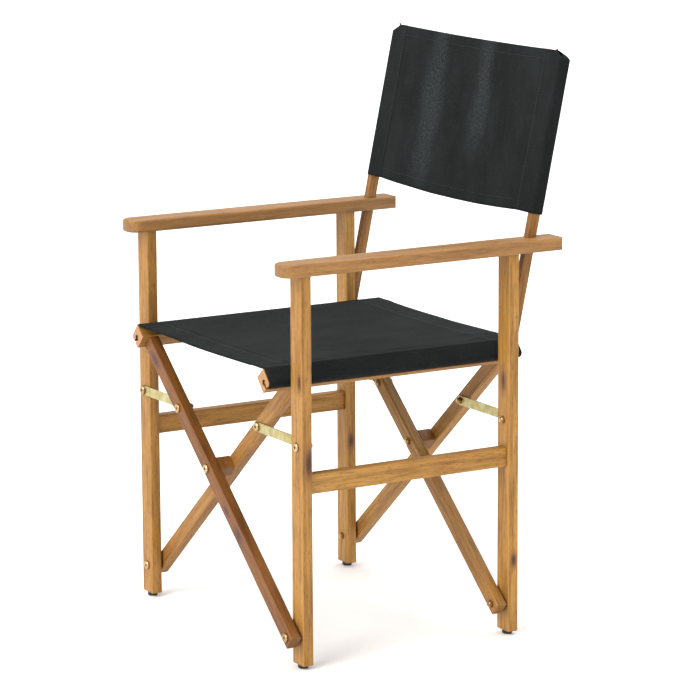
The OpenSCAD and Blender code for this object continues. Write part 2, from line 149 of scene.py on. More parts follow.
def layered(tree, ground, layers):
    """Lays colours over a ground colour. A layer is (pattern, start, end, share at the start,
    share at the end, colour): its share changes evenly while the pattern goes from start to end."""
    for pattern, start, end, first, last, colour in layers:
        changes = {"Value": pattern, "From Min": start, "From Max": end}
        changes |= {"To Min": first, "To Max": last}
        share = add(tree, "ShaderNodeMapRange", changes).outputs[0]
        colours = {SHARE: share, UNDER: ground, OVER: colour}
        ground = add(tree, "ShaderNodeMix", colours, data_type="RGBA").outputs[MIXED]
    return ground


# Materials -----------------------------------------------------------------------------------

# A wave texture's scale is this share of a metre over the distance between its crests
WAVE = 2 * math.pi / 20

BLACK = (0, 0, 0, 1)


def wood(name, centre, grain, half, seed, tone, knots=(), end_colour="#75502C", dry=0.0):
    """Acacia, planed, sanded and oiled. The eye sees brown streaks and pores along the grain,
    slow changes of tone, paler edges that are partly sanded and partly a painted highlight,
    painted shade in the joints and a low satin gloss. grain is the direction of the fibres,
    half the piece's half width and half depth, tone runs from 0, brown, to 1, honey, and dry is
    how far the oil has worn off."""
    look = bpy.context.scene.chair_look
    honey = (look.honey_light, look.honey_middle, look.honey_dark)
    brown = (look.brown_light, look.brown_middle, look.brown_dark)
    pale, middle, dark = (
        [*(b + (h - b) * tone for h, b in zip(one, two)), 1.0] for one, two in zip(honey, brown)
    )
    material, tree = new_material(name)
    chance = random.Random(seed)

    # Coordinates in metres with Z along the grain and the origin on the piece's axis
    across = Vector((0, 1, 0)) if abs(grain.y) < 0.9 else Vector((1, 0, 0))
    z = grain.normalized()
    x = across.cross(z).normalized()
    turn = Matrix((x, z.cross(x), z))
    given = add(tree, "ShaderNodeTexCoord").outputs
    moves = {"Vector": given["Object"], "Rotation": turn.to_euler(), "Location": -(turn @ centre)}
    place = add(tree, "ShaderNodeMapping", moves).outputs[0]

    # Growth rings about a pith outside the piece, wandering along the board
    ring_spacing = 8 * MM
    pith = (chance.uniform(18, 40) * MM, chance.uniform(12, 35) * MM, chance.uniform(-2, 2))
    moves = {"Vector": place, "Scale": (1, 1, 0.12), "Location": pith}
    rings = add(
        tree,
        "ShaderNodeTexWave",
        {
            "Vector": add(tree, "ShaderNodeMapping", moves).outputs[0],
            "Scale": WAVE / ring_spacing,
            "Distortion": 7.0,
            "Detail": 3.0,
            "Detail Scale": 0.4,
            "Detail Roughness": 0.6,
        },
        wave_type="RINGS",
        rings_direction="Z",
        wave_profile="SAW",
    ).outputs["Fac"]

    # Noise drawn out along the grain: size, squeeze along the grain, detail. Fibres 0.4 mm wide
    # would not show, so they are drawn 1.6 mm wide. Pores are 0.2 mm by 3 mm, drawn 1 mm wide
    drawn_out = []
    for size, squeeze, detail in (
        (60 * MM, 0.3, 2),
        (9 * MM, 0.1, 5),
        (3.4 * MM, 0.07, 4),
        (1.6 * MM, 0.04, 3),
        (1.0 * MM, 0.09, 2),
    ):
        shift = [chance.uniform(-9, 9) for _ in range(3)]
        moves = {"Vector": place, "Scale": (1, 1, squeeze), "Location": shift}
        squeezed = add(tree, "ShaderNodeMapping", moves).outputs[0]
        grains = {"Vector": squeezed, "Scale": 1 / size, "Detail": detail, "Roughness": 0.6}
        drawn_out.append(add(tree, "ShaderNodeTexNoise", grains).outputs["Fac"])
    patches, streaks, veins, fibres, pores = drawn_out
    layers = [
        (rings, 0.05, 0.95, 0, 0.6, middle),
        (patches, 0.32, 0.68, 0, 0.62, middle),
        (streaks, 0.46, 0.68, 0, 0.55, dark),
        (veins, 0.54, 0.65, 0, 0.55, dark),
        (fibres, 0.35, 0.7, 0, 0.5, middle),
        (pores, 0.6, 0.67, 0, 0.7, dark),
    ]

    # Knots: a dark eye with a brown halo, drawn out along the grain, ragged where streaks meet it
    for spot, radius in knots:
        local = turn @ (Vector(spot) - centre)
        squeeze = 0.42
        moves = {
            "Vector": place,
            "Scale": (1, 1, squeeze),
            "Location": (-local.x, -local.y, -local.z * squeeze),
        }
        away = add(tree, "ShaderNodeMapping", moves).outputs[0]
        reach = add(tree, "ShaderNodeVectorMath", {0: away}, operation="LENGTH").outputs["Value"]
        rags = {"Value": streaks, "From Min": 0.46, "From Max": 0.68, "To Max": 0.5 * radius}
        rag = add(tree, "ShaderNodeMapRange", rags).outputs[0]
        ragged = add(tree, "ShaderNodeMath", {0: rag, 1: reach}, operation="ADD").outputs[0]
        layers += [
            (ragged, 0.6 * radius, 1.8 * radius, 0.75, 0, linear("#6B4026")),
            (ragged, 0.25 * radius, 0.95 * radius, 0.85, 0, linear("#3B2420")),
        ]

    # How near a point is to an edge along the grain, 1 on the edge
    split = add(tree, "ShaderNodeSeparateXYZ", {0: place}).outputs
    ratios = []
    for axis, size in zip("XY", half):
        ratio = add(tree, "ShaderNodeMath", {0: split[axis], 1: 1 / size}, operation="MULTIPLY").outputs[0]
        ratios.append(add(tree, "ShaderNodeMath", {0: ratio}, operation="ABSOLUTE").outputs[0])
    edge = add(tree, "ShaderNodeMath", {0: ratios[0], 1: ratios[1]}, operation="MINIMUM").outputs[0]

    # How far a face is square to the grain, 1 on end grain
    facing = {0: given["Normal"], 1: z}
    end = add(tree, "ShaderNodeVectorMath", facing, operation="DOT_PRODUCT").outputs["Value"]
    end = add(tree, "ShaderNodeMath", {0: end}, operation="ABSOLUTE").outputs[0]

    # Sanding rubs the edges paler, and the same layer paints a highlight along the rounded edges;
    # end grain soaks up more oil, worn oil leaves the wood greyer, and ambient occlusion paints
    # shade into the joints between pieces and into recesses
    unshaded = add(tree, "ShaderNodeAmbientOcclusion", {"Distance": 5 * MM}).outputs["AO"]
    layers += [
        (edge, 0.82, 0.97, 0, 0.6, pale),
        (end, 0.6, 0.97, 0, 0.6, linear(end_colour)),
        (1.0, 0, 1, 0, dry, linear("#B8946C")),
        (unshaded, 0.25, 0.75, 0.65, 0, linear("#3B2410")),
    ]

    gloss = {"Value": fibres, "From Min": 0.2, "From Max": 0.8, "To Min": 0.42, "To Max": 0.6}
    relief = {
        "Height": layered(tree, fibres, [(pores, 0.6, 0.67, 0, 0.7, BLACK)]),
        "Strength": 0.5,
        "Distance": 0.25 * MM,
    }
    surface = {
        "Base Color": layered(tree, pale, layers),
        "Roughness": add(tree, "ShaderNodeMapRange", gloss).outputs[0],
        "IOR": 1.5,
        "Specular IOR Level": 0.35,
        "Normal": add(tree, "ShaderNodeBump", relief).outputs["Normal"],
    }
    shader = add(tree, "ShaderNodeBsdfPrincipled", surface)
    add(tree, "ShaderNodeOutputMaterial", {"Surface": shader.outputs["BSDF"]})
    return material


def zinc(name, hex_pale, hex_gold, along, rough):
    """Steel, zinc plated and yellow passivated. The eye sees a pale straw metal with faint
    gold and grey clouds and fine rolling lines."""
    material, tree = new_material(name)
    place = add(tree, "ShaderNodeTexCoord").outputs["Object"]
    soft = {"Vector": place, "Scale": 1 / (14 * MM), "Detail": 3.0}
    clouds = add(tree, "ShaderNodeTexNoise", soft).outputs["Fac"]
    # Rolling lines are 0.1 mm apart, drawn 1 mm apart
    stretched = add(tree, "ShaderNodeMapping", {"Vector": place, "Scale": along}).outputs[0]
    fine = {"Vector": stretched, "Scale": 1 / (1.0 * MM), "Detail": 2.0}
    lines = add(tree, "ShaderNodeTexNoise", fine).outputs["Fac"]
    # Painted shade: ambient occlusion darkens the sockets and the seams under heads and washers to near
    # black
    unshaded = add(tree, "ShaderNodeAmbientOcclusion", {"Distance": 2.5 * MM}).outputs["AO"]
    layers = [
        (clouds, 0.35, 0.68, 0, 1, linear(hex_gold)),
        (lines, 0.3, 0.75, 0, 0.22, linear("#8C8467")),
        (unshaded, 0.3, 0.85, 0.97, 0, linear("#15100B")),
    ]
    gloss = {
        "Value": lines,
        "From Min": 0.2,
        "From Max": 0.8,
        "To Min": rough - 0.06,
        "To Max": rough + 0.1,
    }
    relief = {"Height": lines, "Strength": 0.2, "Distance": 0.05 * MM}
    surface = {
        "Base Color": layered(tree, linear(hex_pale), layers),
        "Roughness": add(tree, "ShaderNodeMapRange", gloss).outputs[0],
        "Metallic": 1.0,
        "Normal": add(tree, "ShaderNodeBump", relief).outputs["Normal"],
    }
    shader = add(tree, "ShaderNodeBsdfPrincipled", surface)
    add(tree, "ShaderNodeOutputMaterial", {"Surface": shader.outputs["BSDF"]})
    return material


def moulded_polyethylene(name):
    """Black polyethylene, injection moulded. The eye sees a waxy dark grey with a fine grain."""
    material, tree = new_material(name)
    place = add(tree, "ShaderNodeTexCoord").outputs["Object"]
    fine = {"Vector": place, "Scale": 1 / (0.8 * MM), "Detail": 2.0}
    grit = add(tree, "ShaderNodeTexNoise", fine).outputs["Fac"]
    relief = {"Height": grit, "Strength": 0.3, "Distance": 0.05 * MM}
    surface = {
        "Base Color": layered(tree, linear("#121212"), [(grit, 0, 1, 0, 1, linear("#1D1D1E"))]),
        "Roughness": 0.5,
        "IOR": 1.51,
        "Normal": add(tree, "ShaderNodeBump", relief).outputs["Normal"],
    }
    shader = add(tree, "ShaderNodeBsdfPrincipled", surface)
    add(tree, "ShaderNodeOutputMaterial", {"Surface": shader.outputs["BSDF"]})
    return material


def woven_polyester(name, crease_sheen=()):
    """Polyester canvas, plain woven, black. The eye sees a matt near-black with a fine check of
    threads, slightly uneven in tone, with painted sheen in its speckle and paler mottled bands
    of painted sheen along its creases. Its pattern lies on the cloth's own flat coordinates, in
    metres. Each crease band is given as (place across the cloth, half width, height) in metres."""
    look = bpy.context.scene.chair_look
    shade, thread_top, rubbed_and_sheen = (
        [*colour, 1.0] for colour in (look.cloth_dark, look.cloth_pale, look.cloth_worn_and_sheen)
    )
    material, tree = new_material(name)
    flat = add(tree, "ShaderNodeUVMap", uv_map="Flat").outputs["UV"]
    # Threads are 0.5 mm apart, drawn 1.3 mm apart
    thread = look.thread_spacing * MM
    warp, weft = (
        add(
            tree,
            "ShaderNodeTexWave",
            {"Vector": flat, "Scale": WAVE / thread},
            wave_type="BANDS",
            bands_direction=axis,
        ).outputs["Fac"]
        for axis in ("X", "Y")
    )
    squares = {"Vector": flat, "Color1": (1, 1, 1, 1), "Color2": BLACK, "Scale": 1 / thread}
    on_top = add(tree, "ShaderNodeTexChecker", squares).outputs["Color"]
    crossing = {SHARE: on_top, UNDER: warp, OVER: weft}
    weave = add(tree, "ShaderNodeMix", crossing, data_type="RGBA").outputs[MIXED]

    # Noise on the flat cloth: size, squeeze along the warp, detail, roughness
    blotches = []
    for size, squeeze, detail, roughness in (
        (2.6 * MM, 1, 3, 0.65),
        (2.0 * MM, 0.08, 2, 0.65),
        (80 * MM, 0.5, 2, 0.65),
        (3.4 * MM, 0.8, 4, 0.65),
        (55 * MM, 0.6, 4, 0.7),
    ):
        squeezed = add(tree, "ShaderNodeMapping", {"Vector": flat, "Scale": (1, squeeze, 1)}).outputs[0]
        grains = {"Vector": squeezed, "Scale": 1 / size, "Detail": detail, "Roughness": roughness}
        blotches.append(add(tree, "ShaderNodeTexNoise", grains).outputs["Fac"])
    speckle, slubs, clouds, mottle, wander = blotches
    # The speckle paints sheen on the threads in the rubbed colour; the slubs and clouds are the cloth's
    # own uneven tone
    layers = [
        (weave, 0.2, 0.9, 0, 1, thread_top),
        (speckle, 0.5, 0.75, 0, 0.3, rubbed_and_sheen),
        (slubs, 0.55, 0.75, 0, 0.25, rubbed_and_sheen),
        (clouds, 0.4, 0.7, 0, 0.2, rubbed_and_sheen),
    ]

    # Painted sheen along the creases: upright paler bands that wander sideways, mottled, and fade at their
    # lower end
    split = add(tree, "ShaderNodeSeparateXYZ", {0: flat}).outputs
    sway = 70 * MM
    for middle, half, low_end in crease_sheen:
        shift = {0: wander, 1: sway, 2: -middle - sway / 2}
        shift = add(tree, "ShaderNodeMath", shift, operation="MULTIPLY_ADD").outputs[0]
        off = add(tree, "ShaderNodeMath", {0: split["X"], 1: shift}, operation="ADD").outputs[0]
        off = add(tree, "ShaderNodeMath", {0: off}, operation="ABSOLUTE").outputs[0]
        share = 1.0
        for pattern, start, end, first, last in (
            (off, 0.45 * half, 1.25 * half, 0.85, 0),
            (split["Y"], low_end, low_end + 60 * MM, 0, 1),
            (mottle, 0.42, 0.6, 0.1, 1),
        ):
            changes = {"Value": pattern, "From Min": start, "From Max": end}
            changes |= {"To Min": first, "To Max": last}
            part = add(tree, "ShaderNodeMapRange", changes).outputs[0]
            share = add(tree, "ShaderNodeMath", {0: share, 1: part}, operation="MULTIPLY").outputs[0]
        layers.append((share, 0, 1, 0, 1, rubbed_and_sheen))

    gloss = {"Value": speckle, "From Min": 0.2, "From Max": 0.8, "To Min": 0.9, "To Max": 0.72}
    heights = {SHARE: 0.4, UNDER: weave, OVER: speckle}
    relief = {
        "Height": add(tree, "ShaderNodeMix", heights, data_type="RGBA").outputs[MIXED],
        "Strength": 0.6,
        "Distance": 0.3 * MM,
    }
    surface = {
        "Base Color": layered(tree, shade, layers),
        "Roughness": add(tree, "ShaderNodeMapRange", gloss).outputs[0],
        "IOR": 1.5,
        "Specular IOR Level": 0.06,
        "Sheen Weight": 0.01,
        "Sheen Roughness": 0.45,
        "Sheen Tint": linear("#C9D2D8"),
        "Normal": add(tree, "ShaderNodeBump", relief).outputs["Normal"],
    }
    shader = add(tree, "ShaderNodeBsdfPrincipled", surface)
    add(tree, "ShaderNodeOutputMaterial", {"Surface": shader.outputs["BSDF"]})
    return material


def sewing_thread(name):
    """Bonded polyester thread, twisted, black. The eye sees small shiny dark stitches."""
    material, tree = new_material(name)
    place = add(tree, "ShaderNodeTexCoord").outputs["Object"]
    fine = {"Vector": place, "Scale": 1 / (0.6 * MM), "Detail": 1.0}
    ply = add(tree, "ShaderNodeTexNoise", fine).outputs["Fac"]
    surface = {
        "Base Color": layered(tree, linear("#0E0F10"), [(ply, 0, 1, 0, 1, linear("#1D1F21"))]),
        "Roughness": 0.5,
    }
    shader = add(tree, "ShaderNodeBsdfPrincipled", surface)
    add(tree, "ShaderNodeOutputMaterial", {"Surface": shader.outputs["BSDF"]})
    return material


def white_paper(name):
    """Paper backdrop, matt white. The eye sees an even white with a trace of pulp."""
    material, tree = new_material(name)
    place = add(tree, "ShaderNodeTexCoord").outputs["Object"]
    pulp_size = 25 * MM
    fine = {"Vector": place, "Scale": 1 / pulp_size, "Detail": 2.0}
    pulp = add(tree, "ShaderNodeTexNoise", fine).outputs["Fac"]
    surface = {
        "Base Color": layered(tree, linear("#F6F6F6"), [(pulp, 0, 1, 0, 1, linear("#FAFAFA"))]),
        "Roughness": 0.9,
        "Specular IOR Level": 0.1,
    }
    shader = add(tree, "ShaderNodeBsdfPrincipled", surface)
    add(tree, "ShaderNodeOutputMaterial", {"Surface": shader.outputs["BSDF"]})
    return material


# Mesh helpers --------------------------------------------------------------------------------


def new_object(name, mesh, material):
    """A piece in the scene with its mesh and its material in its material slot."""
    piece = bpy.data.objects.new(name, mesh)
    bpy.context.scene.collection.objects.link(piece)
    mesh.materials.clear()
    mesh.materials.append(material)
    return piece


def cloth(name, rows, flats, thickness, material):
    """A sheet of cloth through rows of points. flats are the rows' flat coordinates in metres,
    kept as the UV map that the weave lies on. The thickness is put on both sides."""
    shape = bmesh.new()
    uv = shape.loops.layers.uv.new("Flat")
    grid = [[shape.verts.new(p) for p in row] for row in rows]
    for i in range(len(rows) - 1):
        for j in range(len(rows[0]) - 1):
            corners = ((i, j), (i, j + 1), (i + 1, j + 1), (i + 1, j))
            face = shape.faces.new([grid[a][b] for a, b in corners])
            face.smooth = True
            for loop, (a, b) in zip(face.loops, corners):
                loop[uv].uv = flats[a][b]
    mesh = bpy.data.meshes.new(name)
    shape.to_mesh(mesh)
    shape.free()
    piece = new_object(name, mesh, material)
    solid = piece.modifiers.new("Thickness", "SOLIDIFY")
    solid.thickness = thickness
    solid.offset = 0
    graph = bpy.context.evaluated_depsgraph_get()
    thick = bpy.data.meshes.new_from_object(piece.evaluated_get(graph), depsgraph=graph)
    piece.modifiers.clear()
    piece.data = thick
    thick.name = name
    return piece


def stitches(name, lines, material, length=3.4 * MM, gap=1.6 * MM, radius=0.42 * MM):
    """Rows of sewn stitches: each a small spindle of thread that follows its line. A line is a
    list of (point, normal) with the points in order."""
    # Along and across the spindle: place as a share of its length, size as a share of its radius
    profile = ((-0.5, 0.35), (-0.32, 0.9), (0.32, 0.9), (0.5, 0.35))
    corners = 6
    shape = bmesh.new()
    for line in lines:
        run = 0.0
        for (a, normal), (b, _) in zip(line, line[1:]):
            step = (b - a).length
            if step < 1e-9:
                continue
            forward = (b - a) / step
            side = forward.cross(normal).normalized()
            while run < step:
                middle = a + forward * run + normal * radius * 0.4
                rings = []
                for t, size in profile:
                    sink = radius * 1.1 * (1 - size)
                    ring_centre = middle + forward * (length * t) - normal * sink
                    ring = []
                    for k in range(corners):
                        angle = k * math.tau / corners
                        out = side * math.cos(angle) + normal * math.sin(angle)
                        ring.append(shape.verts.new(ring_centre + out * radius * size))
                    rings.append(ring)
                for one, two in zip(rings, rings[1:]):
                    for k in range(corners):
                        after = (k + 1) % corners
                        shape.faces.new((one[k], one[after], two[after], two[k])).smooth = True
                shape.faces.new(rings[0])
                shape.faces.new(rings[-1])
                run += length + gap
            run -= step
    bmesh.ops.recalc_face_normals(shape, faces=shape.faces)
    mesh = bpy.data.meshes.new(name)
    shape.to_mesh(mesh)
    shape.free()
    return new_object(name, mesh, material)


def arc(centre, radius, start, end, steps):
    """Points on an arc in a plane, from angle start to angle end."""
    return [
        (centre[0] + radius * math.cos(start + (end - start) * k / steps),
         centre[1] + radius * math.sin(start + (end - start) * k / steps))
        for k in range(steps + 1)
    ]


def even(points, spacing):
    """The same line with extra points, so that none are further apart than spacing."""
    out = [points[0]]
    for a, b in zip(points, points[1:]):
        count = max(1, math.ceil(math.dist(a, b) / spacing))
        out += [tuple(p + (q - p) * k / count for p, q in zip(a, b)) for k in range(1, count + 1)]
    return out


def running_lengths(points):
    """Length along a line up to each of its points."""
    total, out = 0.0, [0.0]
    for a, b in zip(points, points[1:]):
        total += math.dist(a, b)
        out.append(total)
    return out


def smooth(t):
    """Goes gently from 0 to 1 while t does."""
    t = min(max(t, 0.0), 1.0)
    return t * t * (3 - 2 * t)


def paint(node, material):
    """Gives a CAD node its material."""
    for slot in frame["nodes"][node].material_slots:
        slot.material = material


# Knots: node, then (place, radius) in metres
KNOTS = {
    "left_front_leg": [((0.260, -0.214, 0.316), 10.5 * MM), ((0.254, -0.2263, 0.437), 6 * MM)],
    "front_outer_brace": [
        ((0.100, -0.2465, 0.176), 11 * MM),
        ((0.062, -0.2465, 0.207), 6 * MM),
        ((-0.165, -0.2465, 0.403), 10 * MM),
    ],
    "right_rear_leg": [((-0.227, 0.146, 0.215), 6.5 * MM)],
    "left_rear_leg": [((0.243, 0.1377, 0.40), 8 * MM), ((0.260, 0.147, 0.12), 5 * MM)],
    "rear_inner_brace": [((-0.05, 0.13, 0.30), 7 * MM)],
}

# Sizes and colours a user would change -------------------------------------------------------


def colour_property(name, description, hex_colour):
    """A colour that a user can change."""
    return bpy.props.FloatVectorProperty(
        name=name,
        description=description,
        subtype="COLOR",
        default=linear(hex_colour)[:3],
        min=0,
        max=1,
    )


class ChairLook(bpy.types.PropertyGroup):
    """Colours and soft sizes of the chair"""

    honey_light: colour_property("Honey wood, light", "Palest colour of a honey board", "#C1924B")
    honey_middle: colour_property("Honey wood, middle", "Middle colour of a honey board", "#9F6F2C")
    honey_dark: colour_property("Honey wood, dark", "Streaks and pores of a honey board", "#54300F")
    brown_light: colour_property("Brown wood, light", "Palest colour of a brown board", "#8C5926")
    brown_middle: colour_property("Brown wood, middle", "Middle colour of a brown board", "#6E4319")
    brown_dark: colour_property("Brown wood, dark", "Streaks and pores of a brown board", "#3E1F0B")
    cloth_dark: colour_property("Cloth shade", "Colour between the threads", "#121414")
    cloth_pale: colour_property("Cloth thread", "Colour of the threads' tops", "#1E2121")
    # The rubbed colour is also the painted sheen of the cloth's speckle and of its crease bands
    cloth_worn_and_sheen: colour_property("Cloth, rubbed", "Colour where rubbing raised the nap", "#34393B")
    thread_spacing: bpy.props.FloatProperty(
        name="Thread spacing (mm)",
        description="Drawn distance between threads, in millimetres",
        default=1.3,
        min=0.4,
        max=4,
    )
    cloth_thickness: bpy.props.FloatProperty(
        name="Cloth thickness",
        description="Thickness of the seat and back cloth",
        default=1.2 * MM,
        unit="LENGTH",
    )
    seat_sag: bpy.props.FloatProperty(
        name="Seat sag",
        description="How far the empty seat hangs in its middle",
        default=3.5 * MM,
        unit="LENGTH",
    )
    seat_hem: bpy.props.FloatProperty(
        name="Seat hem",
        description="Width of the seat's front and rear hems",
        default=42 * MM,
        unit="LENGTH",
    )
    back_hem: bpy.props.FloatProperty(
        name="Back hem",
        description="Width of the back's top and bottom hems",
        default=16 * MM,
        unit="LENGTH",
    )
    sleeve_depth: bpy.props.FloatProperty(
        name="Sleeve seam",
        description="Distance of the back's sleeve seams from its outer edges",
        default=45 * MM,
        unit="LENGTH",
    )
    camera_azimuth: bpy.props.FloatProperty(
        name="Camera azimuth",
        description="Turn of the camera from looking along +Y",
        subtype="ANGLE",
        default=math.radians(59.45),
    )
    camera_elevation: bpy.props.FloatProperty(
        name="Camera elevation",
        description="Height of the camera over the horizon",
        subtype="ANGLE",
        default=math.radians(11.2),
    )
    camera_distance: bpy.props.FloatProperty(
        name="Camera distance",
        description="Distance of the camera from the point it looks at",
        default=5.47,
        unit="LENGTH",
    )


# Pieces --------------------------------------------------------------------------------------


class CHAIR_OT_timber(bpy.types.Operator):
    """Give each wooden piece its own board of oiled acacia, with the grain along it"""

    bl_idname = "chair.timber"
    bl_label = "Timber"

    def execute(self, context):
        up, forward = Vector((0, 0, 1)), Vector((0, 1, 0))
        _, post_up, _ = post_line()
        seeds = iter(range(11, 900, 7))

        def board(node, centre, grain, half, tone, kind="oiled_acacia", **finish):
            knots = KNOTS.get(node, ())
            paint(node, wood(f"{kind}_{node}", centre, grain, half, next(seeds), tone, knots, **finish))

        # Grain, tone and finish of each kind of piece
        boards = {
            "front_leg": (up, 0.85, {"end_colour": "#7A5836"}),
            "rear_leg": (up, 1.0, {"end_colour": "#7A5836"}),
            "stretcher": (forward, 0.95, {"end_colour": "#7A5836"}),
            "armrest": (forward, 0.46, {"end_colour": "#7A5836", "dry": 0.14}),
            "back_post": (post_up, 0.36, {"end_colour": "#7A5836"}),
            "seat_rail": (forward, 0.5, {"end_colour": "#B98E66"}),
        }
        for side in SIDES:
            for piece, (grain, tone, finish) in boards.items():
                node = f"{side}_{piece}"
                low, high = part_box(node)
                size = high - low
                half = (size.x / 2, (size.y if grain is up else min(size.y, size.z)) / 2)
                board(node, centre_of(node), grain, half, tone, **finish)
        # Side of the seat rail that each brace carries, and its tone
        braces = {
            "front_inner_brace": (1, 0.55),
            "front_outer_brace": (-1, 0.0),
            "rear_inner_brace": (-1, 0.65),
            "rear_outer_brace": (1, 0.8),
        }
        half_width = 12 * MM
        for node, (side, tone) in braces.items():
            low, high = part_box(node)
            _, grain = along_brace(side)
            centre = Vector((CROSSING.x, (low.y + high.y) / 2, CROSSING.z))
            board(node, centre, grain, (half_width, (high.y - low.y) / 2), tone)
        half_block = 11.5 * MM
        for node in ("front_crossing_block", "rear_crossing_block"):
            _, grain = along_brace(-1)
            board(node, centre_of(node), grain, (half_block, half_block), 0.15)
        half_dowel = 4 * MM
        for node in frame["nodes"]:
            if node.endswith(("dowels", "_dowel")):
                board(node, centre_of(node), forward, (half_dowel, half_dowel), 0.7, kind="turned_beech")
        return {"FINISHED"}


class CHAIR_OT_hardware(bpy.types.Operator):
    """Plate the links, bolts, nuts, washers and screws, and give the glides their plastic"""

    bl_idname = "chair.hardware"
    bl_label = "Hardware"

    def execute(self, context):
        strip = zinc("zinc_plated_steel_strip", "#C6C19A", "#AD9B56", (0.06, 1, 1), 0.36)
        turned = zinc("zinc_plated_steel_fasteners", "#C9AE84", "#A9824E", (1, 0.2, 1), 0.3)
        plastic = moulded_polyethylene("moulded_polyethylene")
        for node in frame["nodes"]:
            if node.endswith(("_bolts", "_nuts", "_washers", "_screws", "_head", "_link_nut")):
                paint(node, turned)
            elif node.endswith("_link"):
                paint(node, strip)
            elif node.endswith("_glides"):
                paint(node, plastic)
        return {"FINISHED"}


def seat_line(side, look):
    """The seat cloth's line on one side in X and Z, from the fold at the rail's upper corner,
    over the rail, round its outer corner, into the slot and round the dowel."""
    node = "left_seat_rail" if side > 0 else "right_seat_rail"
    across, along = along_brace(side)
    ws = [(p - CROSSING).dot(across) for p in points_of(node)]
    us = [(p - CROSSING).dot(along) for p in points_of(node)]
    w0, w1, u1 = min(ws), max(ws), max(us)
    dowel = centre_of(node.replace("rail", "dowel")) - CROSSING
    dowel_at = (dowel.dot(across), dowel.dot(along))
    gap = look.cloth_thickness / 2 + 0.35 * MM
    top_round, corner_round, lip_round, slot_half = 1.5 * MM, 5 * MM, 3 * MM, 2 * MM
    quarter = math.pi / 2
    line = arc((w0 + top_round, u1 - top_round), top_round + gap, quarter + LEAN, quarter, 5)
    line += arc((w1 - corner_round, u1 - corner_round), corner_round + gap, quarter, 0, 8)
    lip = dowel_at[1] + slot_half + lip_round
    line += arc((w1 - lip_round, lip), lip_round + gap, 0, -quarter, 6)
    loop = 3 * MM + gap
    height = (lip - lip_round - gap) - dowel_at[1]
    start = math.asin(height / loop)
    line += [(dowel_at[0] + loop + 1.2 * MM, dowel_at[1] + height)]
    line += arc(dowel_at, loop, start, start + math.radians(318), 18)
    places = [CROSSING + across * w + along * u for w, u in line]
    return [(place.x, place.z) for place in places]


class CHAIR_OT_seat(bpy.types.Operator):
    """Stretch the seat cloth over both rails, with sewn hems at the front and rear"""

    bl_idname = "chair.seat"
    bl_label = "Seat sling"

    def execute(self, context):
        look = context.scene.chair_look
        material = woven_polyester("woven_polyester_seat")
        thread = sewing_thread("sewing_thread_seat")
        low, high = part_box("seat_sling")
        left, right = seat_line(1, look), seat_line(-1, look)
        line = even(right[::-1] + left, 9 * MM)
        edge_x = left[0][0]
        top_z = left[0][1]
        depths = [low.y + (high.y - low.y) * k / 64 for k in range(65)]
        run = running_lengths(line)

        def height(x, y):
            """How far the empty seat's cloth lies over the straight line between the rails."""
            if abs(x) >= edge_x:
                return 0.0
            inner = 1 - (x / edge_x) ** 2
            length = (y - low.y) / (high.y - low.y)
            drop = look.seat_sag * inner * (0.75 + 0.25 * math.sin(math.pi * length))
            ripple = noise.noise(Vector((x * 8, y * 15, 1.7))) * 1.8 * inner
            # The hem's stitching pulls the cloth in beside a soft ridge
            for distance in (y - low.y, high.y - y):
                pull = (distance - look.seat_hem) / MM
                ridge = 1.3 * math.exp(-(((pull - 6) / 6) ** 2)) - 0.8 * math.exp(-((pull / 3) ** 2))
                ripple += ridge * min(1, 4 * inner)
            # Slack creases run along the rails and fade towards the middle
            for side, offset, strength in ((1, 26, 1.7), (1, 58, 1.0), (-1, 30, 0.9)):
                bend = offset * MM * (1 + 0.6 * noise.noise(Vector((y * 6, side, offset))))
                near = (edge_x - side * x - bend) / (7 * MM)
                fade = smooth(0.5 + 1.6 * noise.noise(Vector((y * 7, offset * 0.3, side * 2.0))))
                ripple += strength * fade * math.exp(-(near**2))
            return ripple * MM - drop

        # Only the cloth on top of the rails and between them sags and ripples
        on_top = top_z - 2 * MM
        rows = [
            [Vector((x, y, z + (height(x, y) if z > on_top else 0))) for x, z in line] for y in depths
        ]
        flats = [[(s, y - low.y) for s in run] for y in depths]
        seat = cloth("seat_cloth", rows, flats, look.cloth_thickness, material)
        hems = []
        inset = 0.4 * MM
        hem_half = edge_x - 3 * MM
        under = look.cloth_thickness + 0.15 * MM
        xs = [-hem_half + 2 * hem_half * k / 40 for k in range(41)]
        for name, start in (("front", low.y + inset), ("rear", high.y - inset - look.seat_hem)):
            ys = [start + look.seat_hem * k / 8 for k in range(9)]
            hem_rows = [[Vector((x, y, top_z + height(x, y) - under)) for x in xs] for y in ys]
            hem_flats = [[(x, y) for x in xs] for y in ys]
            thickness = look.cloth_thickness * 0.9
            hems.append(cloth(f"seat_{name}_hem", hem_rows, hem_flats, thickness, material))
        lines = []
        up = Vector((0, 0, 1))
        seam_inset = look.seat_hem - 2 * MM
        surface = top_z + look.cloth_thickness / 2
        xs = [-edge_x + 2 * edge_x * k / 60 for k in range(61)]
        for y in (low.y + seam_inset, high.y - seam_inset):
            lines.append([(Vector((x, y, surface + height(x, y))), up) for x in xs])
        seams = stitches("seat_stitches", lines, thread)
        start, end = (-edge_x, 0, top_z), (edge_x, 0, top_z)
        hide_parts("seat_sling")
        for piece in (seat, *hems, seams):
            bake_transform(piece)
        return {"FINISHED"}


